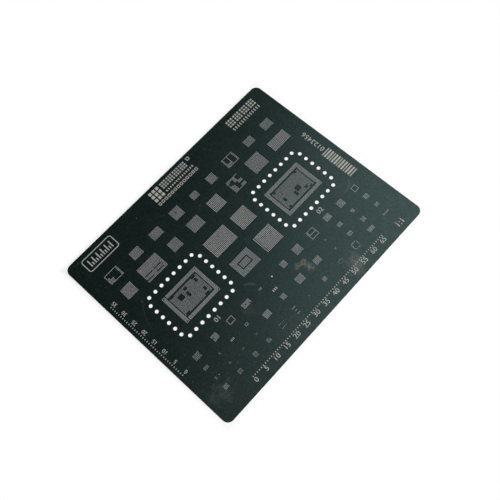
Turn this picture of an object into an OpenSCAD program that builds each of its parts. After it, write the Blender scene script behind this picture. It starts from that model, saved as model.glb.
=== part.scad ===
// Reballing stencil: one thin sheet of spring steel, laser-cut with fields of square
// apertures for the solder paste and with two rings of round relief holes.
// Origin: centre of the sheet's underside. +X along the long side, +Z up.

/* [Sheet] */
// Length of the sheet
sheet_l = 100; // [94:1:140]
// Width of the sheet
sheet_w = 80; // [76:1:120]
// Thickness of the steel
sheet_t = 0.12; // [0.08:0.01:0.3]
// Radius of the sheet's corners
corner_r = 2.5; // [0.5:0.5:5]

/* [Relief holes] */
// Diameter of a relief hole
relief_d = 1.4; // [0.8:0.1:2]
// Distance between the centres of neighbouring relief holes
relief_pitch = 3; // [2.6:0.1:3.2]
// Holes in each of the two long rows of a ring
relief_cols = 8; // [6:1:8]
// Holes in each of the two short columns of a ring
relief_rows = 6; // [4:1:7]
// Direction from the end of a row to the next column, in degrees from the long side
corner_turn = 55; // [35:5:65]

/* [Apertures] */
// Least distance between the centres of apertures in the large fields
pitch_large = 2.1; // [1.5:0.1:2.5]
// Least distance between the centres of apertures in the small fields
pitch_small = 1.5; // [1.2:0.1:1.8]
// Least distance between the centres of apertures in the fields that are frames
pitch_frame = 1.1; // [0.9:0.1:1.3]
// Side of an aperture, as a share of that distance
open_share = 0.6; // [0.45:0.05:0.75]

/* [Processor fields] */
// Place of the two processor fields, in percent of half the sheet's length
processor_at = 53; // [50:1:56]
// Length of the left processor field
processor_left_l = 16.5; // [15.5:0.1:17.5]
// Length of the right processor field
processor_right_l = 17.4; // [16.5:0.1:18]
// Width of both processor fields
processor_w = 12.6; // [12:0.1:13.2]
// Length of the bands of apertures at the two ends of a processor field
band_l = 1.4; // [1:0.1:1.8]
// Width of the bands along its two long sides
band_w = 1.2; // [1:0.1:1.6]
// Plain steel between the end bands and the middle of the field
moat_l = 0.4; // [0.2:0.1:1]
// Plain steel between the long bands and the middle of the field
moat_w = 0.8; // [0.2:0.1:1.4]

/* [Hidden] */
$fn = 16;

// Places are in percent of half the sheet's length or width, so that the layout spreads
// with the sheet. A blank is a box about its field's centre where the steel is whole,
// [x, y, length, width]. A processor field is [place, length, blanks].
processor_fields = [
    [-processor_at, processor_left_l,
        [[-3, 1.6, 2, 2], [0.3, 3, 1.2, 1], [-0.3, 0.7, 1, 1.8], [4.9, 2.4, 1, 1.2], [4.9, -2.2, 1, 1.2]]],
    [processor_at, processor_right_l,
        [[-4.9, -0.9, 1, 1.4], [-0.4, -2.2, 1, 2], [1.5, -1.1, 2, 2], [4, -3, 1.3, 1]]]
];

// A row is [place up the sheet, fields], and a field is [place, length, width, pitch, blanks].
rows = [
    [63.5, [
        [-79, 6, 4.3, pitch_frame, [[0.4, 0, 4, 2.9], [-1, 0.6, 2, 1.5]]],
        [-57, 4.5, 3.7, pitch_small, []],
        [-37, 5, 3.7, pitch_small, []],
        [-16, 4.5, 4.5, pitch_small, [[0, 0, 0.5, 0.5]]],
        [2.5, 3.5, 3, pitch_small, []],
        [20.5, 3.9, 3.7, pitch_small, []],
        [40.5, 5.8, 4.4, pitch_frame, [[-1.2, 0.4, 1.8, 2.5], [1.2, 0, 1.8, 3.3]]],
        [61, 4.3, 3.3, pitch_small, []],
        [80, 4.6, 3.7, pitch_small, []]
    ]],
    [43, [
        [-79.5, 5, 5, pitch_large, []],
        [-57, 9.4, 7, pitch_large, [[0, -0.9, 1, 1], [3.8, -0.9, 1.2, 1]]],
        [-34, 4.5, 4.7, pitch_large, []],
        [-13, 5.7, 4.8, pitch_large, []],
        [8.5, 5.6, 5.7, pitch_large, []],
        [29.5, 5.6, 5.6, pitch_frame, [[-0.9, 0.9, 2, 1.4], [0.1, -1, 1, 2.2], [2.3, 1.6, 1.2, 1.4], [2, -0.6, 2, 1]]],
        [51.5, 7, 6.8, pitch_large, []],
        [76, 8.5, 4.7, pitch_large, []]
    ]],
    [15, [
        [-11, 10.5, 7.6, pitch_large, []],
        [13, 7.4, 7.2, pitch_large, []]
    ]],
    [-15, [
        [-11, 9.2, 7.6, pitch_large, []],
        [13, 8, 7.5, pitch_large, []]
    ]],
    [-41.5, [
        [-81, 3.1, 2.5, pitch_frame, [[1.2, 0, 1, 0.8]]],
        [-63.5, 2.8, 2.7, pitch_frame, [[-1.1, 0, 1, 0.8]]],
        [-48, 2.8, 2.6, pitch_frame, [[0, 0, 1, 1]]],
        [-32.5, 3.8, 2.3, pitch_frame, [[-0.6, 0.2, 1, 0.8]]],
        [-18.5, 1.4, 1, pitch_small, []],
        [-6.5, 0.5, 0.5, pitch_small, []],
        [5.5, 2.6, 2.6, pitch_small, []],
        [19.5, 3.3, 3.3, pitch_small, []],
        [36, 3.8, 3.7, pitch_frame, [[0.6, 0.8, 1.6, 0.8], [0.6, -0.8, 1.6, 0.8]]],
        [52, 2.8, 2.5, pitch_small, []],
        [66.5, 2.8, 2.8, pitch_small, []],
        [82, 2.6, 2.5, pitch_frame, [[0, 0, 1, 1]]]
    ]],
    [-54, [
        [-82.5, 1.8, 1.2, pitch_small, []],
        [-69.5, 1, 1.1, pitch_small, []],
        [-57, 1.9, 1, pitch_small, []],
        [-43, 1.4, 1.1, pitch_small, []],
        [38, 0.7, 0.7, pitch_small, []],
        [53.5, 2, 1.7, pitch_small, []],
        [67.5, 1.6, 1.7, pitch_small, []],
        [82.5, 2.1, 2.1, pitch_small, []]
    ]],
    [-61, [
        [-28.5, 2.8, 2.5, pitch_small, []],
        [-12, 2.4, 2.4, pitch_small, []],
        [5, 3.6, 2.8, pitch_small, []],
        [23, 2.9, 2.4, pitch_small, []]
    ]],
    [-66, [
        [-82.5, 1.2, 1, pitch_small, []],
        [-69.5, 0.9, 0.9, pitch_small, []],
        [-57, 1, 0.9, pitch_small, []],
        [-43, 1.4, 0.9, pitch_small, []],
        [38, 0.7, 0.7, pitch_small, []],
        [53, 2, 1.5, pitch_small, []],
        [67.5, 1.8, 1.8, pitch_small, []],
        [82.5, 2, 1.5, pitch_small, []]
    ]],
    [-77, [
        [-82.5, 2.2, 1.6, pitch_small, []],
        [-69, 1.7, 1.6, pitch_small, []],
        [-54, 1.8, 1.9, pitch_small, []],
        [-41, 1.6, 1.4, pitch_small, []],
        [-27, 2.3, 2.7, pitch_small, []],
        [-14, 1.8, 3.6, pitch_small, []],
        [0, 0.4, 0.4, pitch_small, []],
        [16, 2, 1.8, pitch_small, []],
        [33, 2, 1.6, pitch_small, []],
        [49, 2.8, 2.9, pitch_frame, [[0, 0, 1, 1]]],
        [65.5, 2.9, 2, pitch_small, []],
        [81.5, 3.2, 0.9, pitch_small, []]
    ]]
];

function along(place) = place / 100 * sheet_l / 2;
function up(place) = place / 100 * sheet_w / 2;
function inside(x, y, box) = abs(x - box[0]) < box[2] / 2 && abs(y - box[1]) < box[3] / 2;
function blank(x, y, boxes) = len([for (box = boxes) if (inside(x, y, box)) box]) > 0;

// As many apertures as fit along a length, spread from end to end, or one in the middle
function count(length, side, pitch) = 1 + floor((length - side) / pitch);
function place(i, n, length, side) = n > 1 ? (i / (n - 1) - 0.5) * (length - side) : 0;

// A field of square apertures that fills its length and width
module field(l, w, pitch, blanks = []) {
    side = min(l, w, pitch * open_share);
    cols = count(l, side, pitch);
    rows = count(w, side, pitch);
    for (i = [0 : cols - 1], j = [0 : rows - 1]) {
        x = place(i, cols, l, side);
        y = place(j, rows, w, side);
        if (!blank(x, y, blanks)) translate([x, y]) square(side, center = true);
    }
}

// A middle field with a blank moat and a band of apertures round it
module processor_field(l, blanks) {
    inner_l = l - 2 * (band_l + moat_l);
    inner_w = processor_w - 2 * (band_w + moat_w);
    field(inner_l, inner_w, pitch_large, blanks);
    for (end = [-1, 1]) {
        translate([end * (l - band_l) / 2, 0]) field(band_l, processor_w, pitch_large);
        translate([0, end * (processor_w - band_w) / 2]) field(l - 2 * band_l, band_w, pitch_large);
    }
}

// Two rows and two columns of round holes, at one distance all the way round
module relief_ring() {
    half_row = (relief_cols - 1) * relief_pitch / 2;
    half_col = (relief_rows - 1) * relief_pitch / 2;
    row_y = half_col + relief_pitch * sin(corner_turn);
    col_x = half_row + relief_pitch * cos(corner_turn);
    for (end = [-1, 1]) {
        for (i = [0 : relief_cols - 1]) translate([i * relief_pitch - half_row, end * row_y]) circle(d = relief_d);
        for (j = [0 : relief_rows - 1]) translate([end * col_x, j * relief_pitch - half_col]) circle(d = relief_d);
    }
}

// The sheet's outline: a cross of two rectangles and a round at each corner
module outline() {
    square([sheet_l - 2 * corner_r, sheet_w], center = true);
    square([sheet_l, sheet_w - 2 * corner_r], center = true);
    for (x = [-1, 1], y = [-1, 1])
        translate([x * (sheet_l / 2 - corner_r), y * (sheet_w / 2 - corner_r)]) circle(r = corner_r);
}

module stencil_sheet() {
    color("darkslategray") linear_extrude(height = sheet_t) difference() {
        outline();
        for (row = rows, f = row[1])
            translate([along(f[0]), up(row[0])]) field(f[1], f[2], f[3], f[4]);
        for (p = processor_fields) translate([along(p[0]), 0]) {
            processor_field(p[1], p[2]);
            relief_ring();
        }
    }
}

stencil_sheet();
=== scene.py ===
import math

import bpy
from mathutils import Matrix, Vector


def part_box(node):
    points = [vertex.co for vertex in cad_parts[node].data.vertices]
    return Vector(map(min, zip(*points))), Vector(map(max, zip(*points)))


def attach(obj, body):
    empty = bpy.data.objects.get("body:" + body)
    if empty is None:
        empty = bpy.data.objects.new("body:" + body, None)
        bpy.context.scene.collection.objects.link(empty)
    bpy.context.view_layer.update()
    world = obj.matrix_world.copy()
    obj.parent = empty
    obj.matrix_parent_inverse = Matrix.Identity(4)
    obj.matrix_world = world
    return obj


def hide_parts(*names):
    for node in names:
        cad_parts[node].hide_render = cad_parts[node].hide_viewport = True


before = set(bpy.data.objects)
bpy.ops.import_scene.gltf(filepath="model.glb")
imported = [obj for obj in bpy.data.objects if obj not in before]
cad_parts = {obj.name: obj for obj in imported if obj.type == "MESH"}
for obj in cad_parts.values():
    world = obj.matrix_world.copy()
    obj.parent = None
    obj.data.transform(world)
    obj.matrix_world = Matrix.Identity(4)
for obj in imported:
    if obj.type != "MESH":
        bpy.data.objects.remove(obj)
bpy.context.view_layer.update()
mm = 0.001

low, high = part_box("stencil_sheet")
halfLength = (high[0] - low[0]) / 2
halfWidth = (high[1] - low[1]) / 2
sheetTop = high[2]
sheetThickness = high[2] - low[2]
print("frame loaded, sheet", round(halfLength * 2, 4), "by", round(halfWidth * 2, 4))


# Selecting and shaping


def clearSelection():
    if bpy.context.mode != "OBJECT":
        bpy.ops.object.mode_set(mode="OBJECT")
    bpy.ops.object.select_all(action="DESELECT")


def makeActive(piece):
    clearSelection()
    piece.select_set(True)
    bpy.context.view_layer.objects.active = piece


def joinPieces(pieces, name):
    makeActive(pieces[0])
    for piece in pieces:
        piece.select_set(True)
    bpy.ops.object.join()
    joined = bpy.context.view_layer.objects.active
    joined.name = name
    joined.data.name = name
    return joined


def settle(piece):
    # puts the place, turn and size into the mesh
    makeActive(piece)
    bpy.ops.object.transform_apply(location=True, rotation=True, scale=True)
    return piece


def selectFaces(piece, wanted):
    # leaves the piece in edit mode, with only the wanted faces selected
    makeActive(piece)
    bpy.ops.object.mode_set(mode="EDIT")
    bpy.ops.mesh.select_mode(type="FACE")
    bpy.ops.mesh.select_all(action="DESELECT")
    bpy.ops.object.mode_set(mode="OBJECT")
    for face in piece.data.polygons:
        face.select = wanted(face)
    bpy.ops.object.mode_set(mode="EDIT")


def applyModifier(piece, kind, **values):
    makeActive(piece)
    modifier = piece.modifiers.new(kind.title(), kind)
    for name, value in values.items():
        setattr(modifier, name, value)
    bpy.ops.object.modifier_apply(modifier=modifier.name)
    return piece


def thicken(piece, thickness):
    # gives a flat piece a wall below it, with all its faces turned out
    makeActive(piece)
    bpy.ops.object.mode_set(mode="EDIT")
    bpy.ops.mesh.select_all(action="SELECT")
    bpy.ops.mesh.normals_make_consistent(inside=False)
    bpy.ops.object.mode_set(mode="OBJECT")
    if piece.data.polygons[0].normal.z < 0:
        piece.data.flip_normals()
    return applyModifier(piece, "SOLIDIFY", thickness=thickness, offset=-1)


# The sheet

sheetSettings = {
    "cornerRadius": 2.5,
    "cornerSteps": 8,
    "holeDiameter": 1.4,
    "holePitch": 3,
    "holeColumns": 8,
    "holeRows": 6,
    "holeSides": 28,
    "cornerTurn": 55,
    "ringAt": 53,
}

# Distance between the centres of neighbouring apertures, and the side of an aperture
apertureSizes = {
    "processor": {"pitch": 0.35, "side": 0.17},
    "band": {"pitch": 0.35, "side": 0.195},
    "fine": {"pitch": 0.35, "side": 0.18},
    "chip": {"pitch": 0.4, "side": 0.2},
    "narrow": {"pitch": 0.4, "side": 0.17},
    "memory": {"pitch": 0.5, "side": 0.25},
    "tiny": {"pitch": 0.4, "side": 0.15},
    "single": {"pitch": 0.6, "side": 0.45},
}

# A field is (percent of half the length, columns, rows, kind, blanks), and a blank is a box
# about the field's centre where the steel is whole: (x, y, length, width)
fieldRows = {
    0: [
        (-53, 47, 36, "processor", [
            (0, 4.55, 13.6, 0.7), (0, -4.55, 13.6, 0.7), (-6.65, 0, 0.35, 12.6), (6.65, 0, 0.35, 9.8),
            (-5.3, 4, 1.6, 0.6), (4.9, 3.9, 1.7, 0.7), (-5.2, -3.9, 1.6, 0.6), (4.3, -3.9, 1.6, 0.6),
            (-3, 1.8, 2, 2), (0.1, 3, 1.4, 0.9), (-0.3, 0.7, 1, 2), (5, 2.4, 0.9, 1.2), (5, -2, 0.9, 1.3),
            (-7.5, 5.8, 0.4, 0.4), (7.8, 5.9, 0.4, 0.4), (-7.5, -5.8, 0.4, 0.4), (7.8, -5.8, 0.4, 0.4),
        ]),
        (53, 50, 36, "processor", [
            (0, 4.55, 14.7, 0.7), (0, -4.55, 14.7, 0.7), (-7.2, 0, 0.35, 9.8), (6.85, 0, 0.35, 9.8),
            (-5.8, 3.9, 1.1, 0.7), (5.5, 3.9, 1, 0.6), (-5.7, -3.9, 1.1, 0.6), (5.5, -3.9, 1.1, 0.7),
            (-5, -0.7, 1, 1.4), (-0.4, -2.1, 1, 2.1), (1.5, -1, 2, 2.1), (3.9, -2.9, 1.4, 1),
            (6.3, 1.2, 0.3, 0.4), (8.2, -5.8, 0.4, 0.4),
        ]),
    ],
    63.5: [
        (-79, 15, 11, "chip", [(-0.2, 1.2, 4.8, 1.2), (0.2, 0.2, 4, 0.8), (0.8, -1, 2.8, 1.6)]),
        (-57, 11, 9, "chip", []),
        (-37, 12, 9, "chip", []),
        (-16, 11, 11, "chip", [(0, 0.4, 0.4, 0.4), (-0.4, 0, 0.4, 0.4)]),
        (2.5, 8, 7, "chip", [(1, -0.4, 0.4, 0.4)]),
        (20.5, 9, 9, "chip", []),
        (40.5, 14, 11, "chip", [(-1.2, 0.6, 1.6, 2.4), (1, 0, 2, 3.6)]),
        (61, 10, 8, "chip", [(-1.4, 0.2, 0.4, 0.4)]),
        (80, 11, 9, "chip", []),
    ],
    43: [
        (-79.5, 12, 12, "chip", []),
        (-57, 23, 17, "chip", [
            (-2.4, -0.8, 4, 0.4), (1.8, -0.8, 3.2, 0.4), (-3, -2.4, 3.2, 0.4), (1.8, -2.4, 3.2, 0.4),
            (-0.6, 0, 0.4, 0.8), (3.6, 0, 0.4, 0.4), (3.6, -1.6, 0.4, 0.4), (-0.6, -2.6, 0.4, 0.8),
        ]),
        (-34, 11, 11, "chip", []),
        (-13, 14, 12, "chip", []),
        (8.5, 11, 11, "memory", []),
        (29.5, 14, 14, "chip", [
            (-2, 1, 0.8, 1.6), (-0.8, 1, 1.6, 2), (-0.2, -1, 1.6, 2.4),
            (2.2, 1.2, 1.6, 2), (1.8, -1, 1.6, 0.8),
        ]),
        (51.5, 17, 16, "chip", []),
        (76, 17, 9, "memory", []),
    ],
    15: [
        (-11, 21, 15, "memory", []),
        (13, 14, 14, "memory", []),
    ],
    -15: [
        (-11, 22, 18, "chip", [
            (0, 1.4, 4.8, 0.4), (0, -1.4, 4.8, 0.4), (-2.2, 0, 0.4, 3.2), (2.2, 0, 0.4, 3.2),
        ]),
        (5.3, 1, 15, "memory", []),
        (13.6, 15, 15, "memory", []),
    ],
    -41.5: [
        (-81, 7, 6, "narrow", [(1.2, -0.2, 0.4, 0.4)]),
        (-63.5, 7, 7, "fine", [(-0.9, 0, 0.8, 0.4)]),
        (-48, 7, 6, "chip", [(0, 0, 2, 1.6)]),
        (-32.5, 9, 5, "chip", [(-0.4, 0, 0.4, 0.4), (1.2, -0.8, 0.4, 0.4)]),
        (-18.5, 3, 2, "chip", []),
        (-6.5, 1, 1, "single", []),
        (5.5, 6, 6, "chip", []),
        (20, 8, 8, "chip", []),
        (36, 9, 9, "chip", [(0.2, 0.8, 2.4, 1.2), (0, -0.8, 2.8, 1.2)]),
        (52, 7, 6, "chip", []),
        (66.5, 7, 7, "chip", []),
        (82, 6, 6, "chip", [(0, 0, 1.6, 1.6)]),
    ],
    -54: [
        (-82.5, 5, 3, "narrow", []),
        (-69.5, 2, 2, "narrow", []),
        (-57, 4, 2, "chip", []),
        (-43, 4, 3, "fine", [(0, 0, 0.7, 0.3)]),
        (38, 2, 2, "tiny", []),
        (53.5, 5, 4, "chip", []),
        (67.5, 4, 4, "fine", []),
        (82.5, 5, 5, "chip", []),
    ],
    -61: [
        (-28.5, 7, 6, "chip", []),
        (-12, 5, 5, "chip", []),
        (5, 8, 7, "chip", []),
        (23, 7, 6, "chip", []),
    ],
    -66: [
        (-83, 2, 3, "tiny", []),
        (-80, 1, 1, "chip", []),
        (-69.5, 2, 2, "tiny", []),
        (-57, 3, 1, "tiny", []),
        (-43, 3, 2, "tiny", [(0.4, -0.2, 0.4, 0.4)]),
        (38, 2, 2, "chip", [(0.2, -0.2, 0.4, 0.4)]),
        (53, 5, 4, "chip", [(0.4, -0.2, 0.4, 0.4)]),
        (67.5, 5, 5, "fine", []),
        (82.5, 5, 4, "fine", []),
    ],
    -77: [
        (-82.5, 5, 4, "narrow", []),
        (-69, 4, 4, "narrow", [(0.2, 0.2, 0.4, 0.4), (0.2, -0.6, 0.4, 0.4)]),
        (-54, 4, 5, "narrow", []),
        (-41, 4, 4, "narrow", [(0.6, 0.6, 0.4, 0.4)]),
        (-27, 6, 5, "tiny", [(0, 0, 2.4, 1.2)]),
        (-13.5, 4, 7, "chip", [
            (0, 0.6, 2, 0.8), (0, -0.6, 2, 0.8), (0.6, 0, 0.4, 0.4), (-0.6, 0, 0.4, 0.4),
        ]),
        (0, 1, 1, "chip", []),
        (16, 4, 4, "chip", []),
        (33, 5, 4, "tiny", [(0, 0, 1.2, 0.8)]),
        (49, 7, 7, "chip", [
            (0, 0, 2, 2), (-1.2, -1.2, 0.4, 0.4), (-1.2, 1.2, 0.4, 0.4),
            (1.2, -1.2, 0.4, 0.4), (1.2, 1.2, 0.4, 0.4),
        ]),
        (65.5, 7, 4, "chip", []),
        (81.5, 8, 2, "fine", []),
    ],
}

# The cells round the edge of a processor field that have the wider apertures of a band
bandCells = 4

kinds = list(apertureSizes)


def isBlank(x, y, blanks):
    return any(abs(x - bx) < length / 2 and abs(y - by) < width / 2 for bx, by, length, width in blanks)


def inBand(centre, columns, rows):
    pitch = apertureSizes["band"]["pitch"]
    innerLength = (columns / 2 - bandCells) * pitch
    innerWidth = (rows / 2 - bandCells) * pitch
    return abs(centre.x) > innerLength or abs(centre.y) > innerWidth


def addField(along, up, columns, rows, kind, blanks):
    # a grid of cells at the field's place, where each cell that gets an aperture is marked
    pitch = apertureSizes[kind]["pitch"] * mm
    place = Vector((along / 100 * halfLength, up / 100 * halfWidth, sheetTop))
    bpy.ops.mesh.primitive_grid_add(x_subdivisions=columns, y_subdivisions=rows, size=1, location=place)
    field = bpy.context.active_object
    field.scale = (columns * pitch, rows * pitch, 1)
    settle(field)
    cells = field.data.attributes.new("aperture", "INT", "FACE")
    for face, cell in zip(field.data.polygons, cells.data):
        centre = (face.center - place) / mm
        own = kind
        if kind == "processor" and inBand(centre, columns, rows):
            own = "band"
        cell.value = 0 if isBlank(centre.x, centre.y, blanks) else 1 + kinds.index(own)
    return field


def addOutline():
    # the sheet's edge, with its corners rounded
    bpy.ops.mesh.primitive_plane_add(size=1, location=(0, 0, sheetTop))
    outline = bpy.context.active_object
    outline.scale = (halfLength * 2, halfWidth * 2, 1)
    settle(outline)
    selectFaces(outline, lambda face: True)
    bpy.ops.mesh.bevel(
        affect="VERTICES", offset=sheetSettings["cornerRadius"] * mm, segments=sheetSettings["cornerSteps"]
    )
    bpy.ops.mesh.select_all(action="SELECT")
    bpy.ops.mesh.delete(type="ONLY_FACE")
    clearSelection()
    return outline


def reliefPlaces():
    # two rows and two columns of holes round each processor field
    pitch = sheetSettings["holePitch"]
    halfRow = (sheetSettings["holeColumns"] - 1) * pitch / 2
    halfColumn = (sheetSettings["holeRows"] - 1) * pitch / 2
    turn = math.radians(sheetSettings["cornerTurn"])
    rowUp = halfColumn + pitch * math.sin(turn)
    columnAlong = halfRow + pitch * math.cos(turn)
    around = []
    for end in (-1, 1):
        around += [(i * pitch - halfRow, end * rowUp) for i in range(sheetSettings["holeColumns"])]
        around += [(end * columnAlong, j * pitch - halfColumn) for j in range(sheetSettings["holeRows"])]
    for side in (-1, 1):
        centre = side * sheetSettings["ringAt"] / 100 * halfLength
        for x, y in around:
            yield Vector((centre + x * mm, y * mm, sheetTop))


def addReliefHoles():
    bpy.ops.mesh.primitive_circle_add(
        vertices=sheetSettings["holeSides"],
        radius=sheetSettings["holeDiameter"] / 2 * mm,
        fill_type="NOTHING",
    )
    first = bpy.context.active_object
    holes = []
    for place in reliefPlaces():
        hole = first.copy()
        hole.data = first.data.copy()
        hole.data.transform(Matrix.Translation(place))
        bpy.context.collection.objects.link(hole)
        holes.append(hole)
    bpy.data.objects.remove(first)
    return holes


def fillBetween(sheet):
    # the plain steel between the outline, the round holes and the fields
    makeActive(sheet)
    bpy.ops.object.mode_set(mode="EDIT")
    bpy.ops.mesh.select_mode(type="EDGE")
    bpy.ops.mesh.select_all(action="DESELECT")
    bpy.ops.mesh.select_non_manifold(
        extend=False,
        use_wire=True,
        use_boundary=True,
        use_multi_face=False,
        use_non_contiguous=False,
        use_verts=False,
    )
    bpy.ops.mesh.fill(use_beauty=True)
    clearSelection()


def cutApertures(sheet):
    for number, kind in enumerate(kinds, 1):
        sizes = apertureSizes[kind]
        marks = [cell.value == number for cell in sheet.data.attributes["aperture"].data]
        selectFaces(sheet, lambda face: marks[face.index])
        bpy.ops.mesh.inset(thickness=(sizes["pitch"] - sizes["side"]) / 2 * mm, use_individual=True)
        bpy.ops.mesh.delete(type="FACE")
        clearSelection()


def buildSheet():
    fields = []
    for up, row in fieldRows.items():
        for along, columns, rows, kind, blanks in row:
            fields.append(addField(along, up, columns, rows, kind, blanks))
    sheet = joinPieces(fields + [addOutline()] + addReliefHoles(), "reballingStencil")
    fillBetween(sheet)
    cutApertures(sheet)
    thicken(sheet, sheetThickness)
    return sheet


stencil = buildSheet()
print("stencil cut,", len(stencil.data.polygons), "faces")


# Laser marks

markSettings = {
    "proud": 0.004,
    "depth": 0.012,
    "boldness": 0.012,
    "digitShare": 0.73,  # a digit's height as a share of the letter size
    "barCount": 13,
    "barLength": 3.9,
    "barGap": 0.5,
    "barLeast": 0.4,
    "barStep": 0.28,
}
markUp = sheetTop + markSettings["proud"] * mm


def markRectangle(x, y, length, width):
    bpy.ops.mesh.primitive_plane_add(size=1, location=(x * mm, y * mm, markUp))
    piece = bpy.context.active_object
    piece.scale = (length * mm, width * mm, 1)
    return settle(piece)


def markFrame(x, y, length, width, line, radius=0):
    # a rectangle of even line, with its corners rounded where a radius is given
    piece = markRectangle(x, y, length, width)
    selectFaces(piece, lambda face: True)
    if radius:
        bpy.ops.mesh.bevel(affect="VERTICES", offset=radius * mm, segments=4)
        bpy.ops.mesh.select_all(action="SELECT")
    bpy.ops.mesh.inset(thickness=line * mm)
    bpy.ops.mesh.delete(type="FACE")
    clearSelection()
    return piece


def markRow(piece, count, along=0, up=0):
    return applyModifier(
        piece,
        "ARRAY",
        count=count,
        use_relative_offset=False,
        use_constant_offset=True,
        constant_offset_displace=(along * mm, up * mm, 0),
    )


def markNumber(digits, x, y, height, turn=0, spacing=1):
    bpy.ops.object.text_add()
    piece = bpy.context.active_object
    piece.data.body = digits
    piece.data.align_x = "CENTER"
    piece.data.align_y = "CENTER"
    piece.data.resolution_u = 3
    piece.data.offset = markSettings["boldness"]
    piece.data.space_character = spacing
    makeActive(piece)
    bpy.ops.object.convert(target="MESH")
    size = height / markSettings["digitShare"] * mm
    piece.scale = (size, size, 1)
    piece.rotation_euler = (0, 0, math.radians(turn))
    piece.location = (x * mm, y * mm, markUp)
    return settle(piece)


def topLeftWindow():
    pieces = [markFrame(-37.15, 35, 14.3, 5.8, 0.33, 1)]
    pieces.append(markRow(markRectangle(-42.2, 35, 0.45, 3), 6, 2.02))
    pieces.append(markRow(markRectangle(-41.2, 34.2, 0.4, 1.4), 5, 2.02))
    return pieces


def dotTile(x, y, side):
    # three by three small squares
    dot = side * 0.24
    step = (side - dot) / 2
    corner = markRectangle(x - step, y - step, dot, dot)
    return markRow(markRow(corner, 3, step), 3, 0, step)


def topCentreBlock():
    pieces = [markRow(markRow(markRectangle(-9.3, 34.4, 1.2, 1.3), 3, 1.7), 3, 0, 1.75)]
    pieces.append(markRow(dotTile(-2.9, 37.1, 2.7), 4, 3.25))
    pieces.append(markRow(markRectangle(-4, 34.4, 0.45, 0.8), 14, 1.02))
    pieces.append(markRow(markFrame(-9.4, 32.4, 1.1, 1.2, 0.25), 13, 1.56))
    pieces.append(markFrame(10.2, 37.9, 1.4, 1.4, 0.3, 0.3))
    return pieces


def topRightBlock():
    pieces = [markRow(dotTile(31.8, 36, 3), 4, 3.7)]
    pieces.append(markRow(markRectangle(30.6, 33, 0.4, 1.3), 13, 1.12))
    return pieces


def leftScale():
    pieces = [markRow(markRectangle(-48.3, -17.5, 0.45, 0.28), 36, 0, 1)]
    for step in range(8):
        pieces.append(markNumber(str(step * 5), -46.7, step * 5 - 17.5, 1.5, 90))
    return pieces


def bottomRuler():
    pieces = [markRow(markRectangle(-33, -35.2, 0.28, 0.5), 67, 1)]
    for step in range(14):
        pieces.append(markNumber(str(step * 5), step * 5 - 33, -36.7, 1.9))
    return pieces


def barBlock():
    # bars of three widths with even gaps, by a plain rule
    pieces = []
    y = 1.1
    for i in range(markSettings["barCount"]):
        width = markSettings["barLeast"] + markSettings["barStep"] * (i * i % 3)
        pieces.append(markRectangle(45.5, y - width / 2, markSettings["barLength"], width))
        y -= width + markSettings["barGap"]
    return pieces


def smallMarks():
    pieces = [markNumber("0123456", 45.7, 7.2, 2, 90, 1.1)]
    pieces.append(markNumber("01", -26.6, -12.85, 1.9))
    pieces.append(markNumber("02", 26.3, -12.85, 1.9))
    pieces.append(markNumber("1:1", 41, -36.8, 2.4))
    pieces.append(markRow(markRectangle(-6.8, -20.5, 0.35, 0.9), 3, 0.75))
    return pieces


def buildMarks():
    pieces = topLeftWindow() + topCentreBlock() + topRightBlock()
    pieces += leftScale() + bottomRuler() + barBlock() + smallMarks()
    marks = joinPieces(pieces, "laserMarks")
    return thicken(marks, markSettings["depth"] * mm)


marks = buildMarks()
print("marks made,", len(marks.data.polygons), "faces")


# Materials


def newMaterial(name):
    material = bpy.data.materials.new(name)
    material.use_nodes = True
    return material, material.node_tree.nodes, material.node_tree.links


def newGroup(name, inputs, output):
    # a shader node group with named inputs and one named mask
    group = bpy.data.node_groups.new(name, "ShaderNodeTree")
    for label, kind in inputs:
        group.interface.new_socket(label, in_out="INPUT", socket_type=kind)
    group.interface.new_socket(output, in_out="OUTPUT", socket_type="NodeSocketFloat")
    return group, group.nodes.new("NodeGroupInput"), group.nodes.new("NodeGroupOutput")


def vectorMath(tree, operation, first, second):
    node = tree.nodes.new("ShaderNodeVectorMath")
    node.operation = operation
    tree.links.new(first, node.inputs[0])
    tree.links.new(second, node.inputs[1])
    return node


def smoothRange(tree, value, start, end, low=1, high=0):
    node = tree.nodes.new("ShaderNodeMapRange")
    node.interpolation_type = "SMOOTHSTEP"
    for label, number in (("From Min", start), ("From Max", end), ("To Min", low), ("To Max", high)):
        node.inputs[label].default_value = number
    tree.links.new(value, node.inputs["Value"])
    return node.outputs["Result"]


def arithmetic(tree, operation, first, second):
    node = tree.nodes.new("ShaderNodeMath")
    node.operation = operation
    for socket, value in zip(node.inputs, (first, second)):
        if isinstance(value, (int, float)):
            socket.default_value = value
        else:
            tree.links.new(value, socket)
    return node.outputs["Value"]


def noise(tree, vector, scale, detail=2, roughness=0.5):
    node = tree.nodes.new("ShaderNodeTexNoise")
    node.inputs["Scale"].default_value = scale
    node.inputs["Detail"].default_value = detail
    node.inputs["Roughness"].default_value = roughness
    tree.links.new(vector, node.inputs["Vector"])
    return node.outputs["Fac"]


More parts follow.
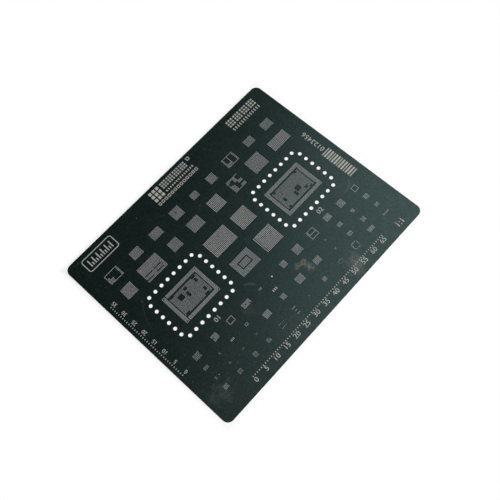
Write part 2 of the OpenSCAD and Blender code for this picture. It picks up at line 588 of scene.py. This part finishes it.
def makeSoftSpot():
    # a cloud with ragged edges, strongest in its middle
    inputs = (
        ("Vector", "NodeSocketVector"), ("Centre", "NodeSocketVector"), ("Radius", "NodeSocketVector"),
        ("Ragged", "NodeSocketFloat"), ("Strength", "NodeSocketFloat"),
    )
    group, given, result = newGroup("softSpot", inputs, "Mask")
    offset = vectorMath(group, "SUBTRACT", given.outputs["Vector"], given.outputs["Centre"])
    scaled = vectorMath(group, "DIVIDE", offset.outputs["Vector"], given.outputs["Radius"])
    length = group.nodes.new("ShaderNodeVectorMath")
    length.operation = "LENGTH"
    group.links.new(scaled.outputs["Vector"], length.inputs[0])
    cloud = arithmetic(group, "SUBTRACT", noise(group, given.outputs["Vector"], 450, 5, 0.65), 0.5)
    pushed = arithmetic(group, "MULTIPLY", cloud, given.outputs["Ragged"])
    reach = arithmetic(group, "ADD", length.outputs["Value"], pushed)
    mask = arithmetic(group, "MULTIPLY", smoothRange(group, reach, 0.1, 1), given.outputs["Strength"])
    group.links.new(mask, result.inputs["Mask"])
    return group


def makeThinArc():
    # a fine round scratch, shown only near one place on its circle
    inputs = (
        ("Vector", "NodeSocketVector"), ("Centre", "NodeSocketVector"), ("Radius", "NodeSocketFloat"),
        ("Width", "NodeSocketFloat"), ("Near", "NodeSocketVector"), ("Reach", "NodeSocketFloat"),
    )
    group, given, result = newGroup("thinArc", inputs, "Mask")
    away = vectorMath(group, "DISTANCE", given.outputs["Vector"], given.outputs["Centre"])
    fromCircle = arithmetic(group, "SUBTRACT", away.outputs["Value"], given.outputs["Radius"])
    offset = arithmetic(group, "ABSOLUTE", fromCircle, 0)
    line = smoothRange(group, arithmetic(group, "DIVIDE", offset, given.outputs["Width"]), 0, 1)
    along = vectorMath(group, "DISTANCE", given.outputs["Vector"], given.outputs["Near"])
    share = arithmetic(group, "DIVIDE", along.outputs["Value"], given.outputs["Reach"])
    fade = smoothRange(group, share, 0.4, 1)
    group.links.new(arithmetic(group, "MULTIPLY", line, fade), result.inputs["Mask"])
    return group


groups = {"softSpot": makeSoftSpot(), "thinArc": makeThinArc()}


def placeGroup(tree, name, vector, **values):
    node = tree.nodes.new("ShaderNodeGroup")
    node.node_tree = groups[name]
    tree.links.new(vector, node.inputs["Vector"])
    for label, value in values.items():
        node.inputs[label].default_value = value
    return node.outputs["Mask"]


def strongest(tree, masks):
    total = masks[0]
    for mask in masks[1:]:
        total = arithmetic(tree, "MAXIMUM", total, mask)
    return total


def mixColour(tree, factor, first, second):
    node = tree.nodes.new("ShaderNodeMix")
    node.data_type = "RGBA"
    tree.links.new(factor, node.inputs["Factor"])
    for socket, value in ((node.inputs[6], first), (node.inputs[7], second)):
        if isinstance(value, tuple):
            socket.default_value = value
        else:
            tree.links.new(value, socket)
    return node.outputs[2]


coatSettings = {
    "deep": (0.001, 0.003, 0.0028, 1),
    "worn": (0.005, 0.009, 0.0088, 1),
    "dust": (0.3, 0.3, 0.28, 1),
    "flux": (0.31, 0.29, 0.245, 1),
    "scratch": (0.2, 0.24, 0.23, 1),
    "steel": (0.3, 0.3, 0.29, 1),
    "tint": (0.6, 1, 0.97, 1),
    "roughness": 0.31,
    "dirtRoughness": 0.8,
    "scratchStrength": 0.13,
    "mottleScale": 900,
    "powderScale": 1800,
    "grainScale": 1000,
    "unevenScale": 320,
    "sheenScale": 1400,
    "bumpScale": 2600,
    "bumpStrength": 0.15,
    "bumpHeight": 0.00001,
}

# Places in millimetres from the sheet's centre: (x, y, half length, half width, ragged, strength)
dustClouds = (
    (-44, -31.5, 6, 6, 3.6, 0.07),
    (-17.5, -18.8, 3, 4, 2.2, 0.05),
    (39, -13, 7, 5, 2, 0.035),
    (43, -3, 7, 13, 0.8, 0.02),
    (19.5, -35, 5.5, 5, 2.4, 0.16),
    (-12, -33, 14, 7, 1.6, 0.03),
    (-32, -25, 13, 8, 1.6, 0.018),
)
fluxClouds = (
    (8.1, -23.9, 2.4, 2.6, 1.6, 0.42),
    (5.4, -20.9, 2, 1.4, 2.2, 0.35),
    (7.6, -21.2, 1.6, 1.8, 2.2, 0.5),
    (16.5, -26, 0.8, 1.4, 1.5, 0.12),
    (20.5, -34.5, 4, 3.5, 3, 0.16),
    (18, -37.5, 3.5, 2.5, 3, 0.12),
)
risingScuffs = (
    (-42, -30, 12, 12, 1.5, 0.09),
    (-24, -34, 10, 10, 1.5, 0.05),
)
fallingScuffs = (
    (-38, -14, 10, 10, 1.5, 0.02),
    (41, -8, 9, 9, 1.5, 0.02),
)

# An arc is its circle's centre and radius, its line's width, and the place and reach where it shows
scratchArcs = (
    (-27, -1.2, 17.2, 0.16, -42, 7, 8),
    (-14, -16.5, 5.3, 0.7, -10.3, -12.8, 3),
    (38, -10, 5, 0.5, 40, -14.5, 4.5),
)


def inMetres(x, y):
    return (x * mm, y * mm, sheetTop)


def filmMask(tree, vector):
    # fine dust that grows towards the near edge of the sheet
    split = tree.nodes.new("ShaderNodeSeparateXYZ")
    tree.links.new(vector, split.inputs[0])
    near = smoothRange(tree, split.outputs["Y"], -0.045, 0.005, 0.022, 0.001)
    patches = arithmetic(tree, "ADD", noise(tree, vector, 260, 5, 0.6), 0.35)
    return arithmetic(tree, "MULTIPLY", near, patches)


def speckMask(tree, vector):
    # scattered grains of dust
    grains = smoothRange(tree, noise(tree, vector, 1500, 1), 0.68, 0.78, 0, 0.2)
    patches = smoothRange(tree, noise(tree, vector, 90, 2), 0.4, 0.65, 0.1, 1)
    return arithmetic(tree, "MULTIPLY", grains, patches)


def spots(tree, vector, places):
    masks = []
    for x, y, length, width, ragged, strength in places:
        radius = (length * mm, width * mm, 1)
        masks.append(placeGroup(
            tree, "softSpot", vector, Centre=inMetres(x, y), Radius=radius, Ragged=ragged, Strength=strength
        ))
    return strongest(tree, masks)


def arcs(tree, vector, places):
    masks = []
    for x, y, radius, width, nearX, nearY, reach in places:
        masks.append(placeGroup(
            tree, "thinArc", vector, Centre=inMetres(x, y), Radius=radius * mm, Width=width * mm,
            Near=inMetres(nearX, nearY), Reach=reach * mm,
        ))
    return strongest(tree, masks)


def scuffMask(tree, vector, turn, places):
    # fine straight scuffs that all run one way, kept to a few places
    mapping = tree.nodes.new("ShaderNodeMapping")
    mapping.inputs["Rotation"].default_value = (0, 0, math.radians(turn))
    mapping.inputs["Scale"].default_value = (1, 14, 1)
    tree.links.new(vector, mapping.inputs["Vector"])
    lines = smoothRange(tree, noise(tree, mapping.outputs["Vector"], 260, 3), 0.55, 0.75, 0, 1)
    return arithmetic(tree, "MULTIPLY", lines, spots(tree, vector, places))


def stencilCoat():
    material, nodes, links = newMaterial("stencilCoat")
    tree = material.node_tree
    shader = nodes["Principled BSDF"]
    vector = nodes.new("ShaderNodeTexCoord").outputs["Object"]

    mottle = smoothRange(tree, noise(tree, vector, coatSettings["mottleScale"], 6, 0.75), 0.3, 0.7, 0, 1)
    colour = mixColour(tree, mottle, coatSettings["deep"], coatSettings["worn"])
    clouds = [filmMask(tree, vector), speckMask(tree, vector), spots(tree, vector, dustClouds)]
    powder = smoothRange(tree, noise(tree, vector, coatSettings["powderScale"], 3, 0.7), 0.3, 0.7, 0.3, 1.4)
    dust = arithmetic(tree, "MULTIPLY", strongest(tree, clouds), powder)
    dust = arithmetic(tree, "ADD", dust, scuffMask(tree, vector, 35, risingScuffs))
    dust = arithmetic(tree, "ADD", dust, scuffMask(tree, vector, -50, fallingScuffs))
    colour = mixColour(tree, dust, colour, coatSettings["dust"])
    flux = spots(tree, vector, fluxClouds)
    grain = smoothRange(tree, noise(tree, vector, coatSettings["grainScale"], 5, 0.8), 0.38, 0.62, 0.15, 1)
    colour = mixColour(tree, arithmetic(tree, "MULTIPLY", flux, grain), colour, coatSettings["flux"])
    scratches = arcs(tree, vector, scratchArcs)
    scratches = arithmetic(tree, "MULTIPLY", scratches, coatSettings["scratchStrength"])
    colour = mixColour(tree, scratches, colour, coatSettings["scratch"])

    # the walls that the laser cut are bare steel
    normal = nodes.new("ShaderNodeSeparateXYZ")
    links.new(nodes.new("ShaderNodeNewGeometry").outputs["Normal"], normal.inputs[0])
    wall = smoothRange(tree, arithmetic(tree, "ABSOLUTE", normal.outputs["Z"], 0), 0.4, 0.6)
    links.new(mixColour(tree, wall, colour, coatSettings["steel"]), shader.inputs["Base Color"])

    patches = noise(tree, vector, coatSettings["unevenScale"], 4, 0.6)
    uneven = smoothRange(tree, patches, 0.2, 0.8, -0.03, 0.03)
    dirt = arithmetic(tree, "MAXIMUM", dust, flux)
    dirt = arithmetic(tree, "MULTIPLY", dirt, coatSettings["dirtRoughness"])
    matte = arithmetic(tree, "ADD", dirt, uneven)
    links.new(arithmetic(tree, "ADD", matte, coatSettings["roughness"]), shader.inputs["Roughness"])
    shader.inputs["Specular Tint"].default_value = coatSettings["tint"]
    sheen = smoothRange(tree, noise(tree, vector, coatSettings["sheenScale"], 3, 0.7), 0.3, 0.7, 0.4, 0.6)
    links.new(sheen, shader.inputs["Specular IOR Level"])

    bump = nodes.new("ShaderNodeBump")
    bump.inputs["Strength"].default_value = coatSettings["bumpStrength"]
    bump.inputs["Distance"].default_value = coatSettings["bumpHeight"]
    links.new(noise(tree, vector, coatSettings["bumpScale"], 2), bump.inputs["Height"])
    links.new(bump.outputs["Normal"], shader.inputs["Normal"])
    return material


etchSettings = {
    "pale": (0.44, 0.44, 0.4, 1),
    "dull": (0.24, 0.25, 0.23, 1),
    "passScale": 900,
    "passWaver": 0.6,
    "patchScale": 700,
    "bumpStrength": 0.2,
    "bumpHeight": 0.00001,
}


def laserEtch():
    # rough bare steel, burnt through the coating in fine passes
    material, nodes, links = newMaterial("laserEtch")
    tree = material.node_tree
    shader = nodes["Principled BSDF"]
    vector = nodes.new("ShaderNodeTexCoord").outputs["Object"]
    passes = nodes.new("ShaderNodeTexWave")
    passes.inputs["Scale"].default_value = etchSettings["passScale"]
    passes.inputs["Distortion"].default_value = etchSettings["passWaver"]
    links.new(vector, passes.inputs["Vector"])
    patches = noise(tree, vector, etchSettings["patchScale"], 3)
    burnt = arithmetic(tree, "MULTIPLY", passes.outputs["Fac"], 0.35)
    shade = arithmetic(tree, "ADD", burnt, arithmetic(tree, "MULTIPLY", patches, 0.65))
    colour = mixColour(tree, shade, etchSettings["pale"], etchSettings["dull"])
    links.new(colour, shader.inputs["Base Color"])
    links.new(smoothRange(tree, patches, 0.3, 0.7, 0.5, 0.65), shader.inputs["Roughness"])
    bump = nodes.new("ShaderNodeBump")
    bump.inputs["Strength"].default_value = etchSettings["bumpStrength"]
    bump.inputs["Distance"].default_value = etchSettings["bumpHeight"]
    links.new(passes.outputs["Fac"], bump.inputs["Height"])
    links.new(bump.outputs["Normal"], shader.inputs["Normal"])
    return material


def dress(piece, material):
    piece.data.materials.clear()
    piece.data.materials.append(material)


dress(stencil, stencilCoat())
dress(marks, laserEtch())

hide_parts("stencil_sheet")
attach(stencil, "root")
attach(marks, "root")


# Floor, light and camera

stageSettings = {
    "floorSize": 4,
    "floorColour": (0.95, 0.95, 0.95, 1),
    "world": 0.05,
    "whiteFrom": 0.0003,
    "whiteAt": 0.002,
}


def floorPaint():
    # pale paint that takes the sheet's shadow and is plain white away from it
    material, nodes, links = newMaterial("floorPaint")
    tree = material.node_tree
    shader = nodes["Principled BSDF"]
    shader.inputs["Base Color"].default_value = stageSettings["floorColour"]
    shader.inputs["Roughness"].default_value = 0.9
    shader.inputs["Specular IOR Level"].default_value = 0.2
    split = nodes.new("ShaderNodeSeparateXYZ")
    links.new(nodes.new("ShaderNodeTexCoord").outputs["Object"], split.inputs[0])
    along = arithmetic(tree, "ABSOLUTE", split.outputs["X"], 0)
    up = arithmetic(tree, "ABSOLUTE", split.outputs["Y"], 0)
    beyondLength = arithmetic(tree, "SUBTRACT", along, halfLength)
    beyondWidth = arithmetic(tree, "SUBTRACT", up, halfWidth)
    beyond = arithmetic(tree, "MAXIMUM", beyondLength, beyondWidth)
    away = smoothRange(tree, beyond, stageSettings["whiteFrom"], stageSettings["whiteAt"], 0, 1)
    ray = nodes.new("ShaderNodeLightPath")
    seen = arithmetic(tree, "MAXIMUM", ray.outputs["Is Camera Ray"], ray.outputs["Is Glossy Ray"])
    seen = arithmetic(tree, "MAXIMUM", seen, ray.outputs["Is Transmission Ray"])
    white = nodes.new("ShaderNodeEmission")
    mix = nodes.new("ShaderNodeMixShader")
    links.new(arithmetic(tree, "MULTIPLY", away, seen), mix.inputs["Fac"])
    links.new(shader.outputs["BSDF"], mix.inputs[1])
    links.new(white.outputs["Emission"], mix.inputs[2])
    links.new(mix.outputs["Shader"], nodes["Material Output"].inputs["Surface"])
    return material


def addFloor():
    bpy.ops.mesh.primitive_plane_add(size=stageSettings["floorSize"], location=(0, 0, 0))
    floor = bpy.context.active_object
    floor.name = "floor"
    dress(floor, floorPaint())
    return floor


def addLamp(name, place, size, power):
    bpy.ops.object.light_add(type="AREA", location=place)
    lamp = bpy.context.active_object
    lamp.name = name
    lamp.data.shape = "DISK"
    lamp.data.size = size
    lamp.data.energy = power
    lamp.rotation_euler = (-Vector(place)).to_track_quat("-Z", "Y").to_euler()
    return lamp


def addWorld():
    world = bpy.data.worlds.new("studio")
    bpy.context.scene.world = world
    world.use_nodes = True
    background = world.node_tree.nodes["Background"]
    background.inputs["Color"].default_value = (1, 1, 1, 1)
    background.inputs["Strength"].default_value = stageSettings["world"]


addFloor()
addLamp("keyLamp", (-0.45, -0.55, 0.75), 0.6, 4.7)
addLamp("windowLamp", (0.42, -0.24, 0.51), 1.2, 7.4)
addWorld()

cameraSettings = {
    "aim": (-1.1, -4.3),
    "distance": 250,
    "forward": (0.2153, 0.2949, -0.931),
    "roll": 11.95,
    "lens": 51.44,
}


def addCamera():
    forward = Vector(cameraSettings["forward"]).normalized()
    aim = Vector((cameraSettings["aim"][0] * mm, cameraSettings["aim"][1] * mm, sheetTop))
    bpy.ops.object.camera_add(location=aim - forward * cameraSettings["distance"] * mm)
    camera = bpy.context.active_object
    turn = Matrix.Rotation(math.radians(cameraSettings["roll"]), 3, forward)
    camera.rotation_euler = (turn @ forward.to_track_quat("-Z", "Y").to_matrix()).to_euler()
    camera.data.lens = cameraSettings["lens"]
    camera.data.clip_start = 0.01
    bpy.context.scene.camera = camera


addCamera()
bpy.context.scene.view_settings.view_transform = "Standard"
print("stage set")
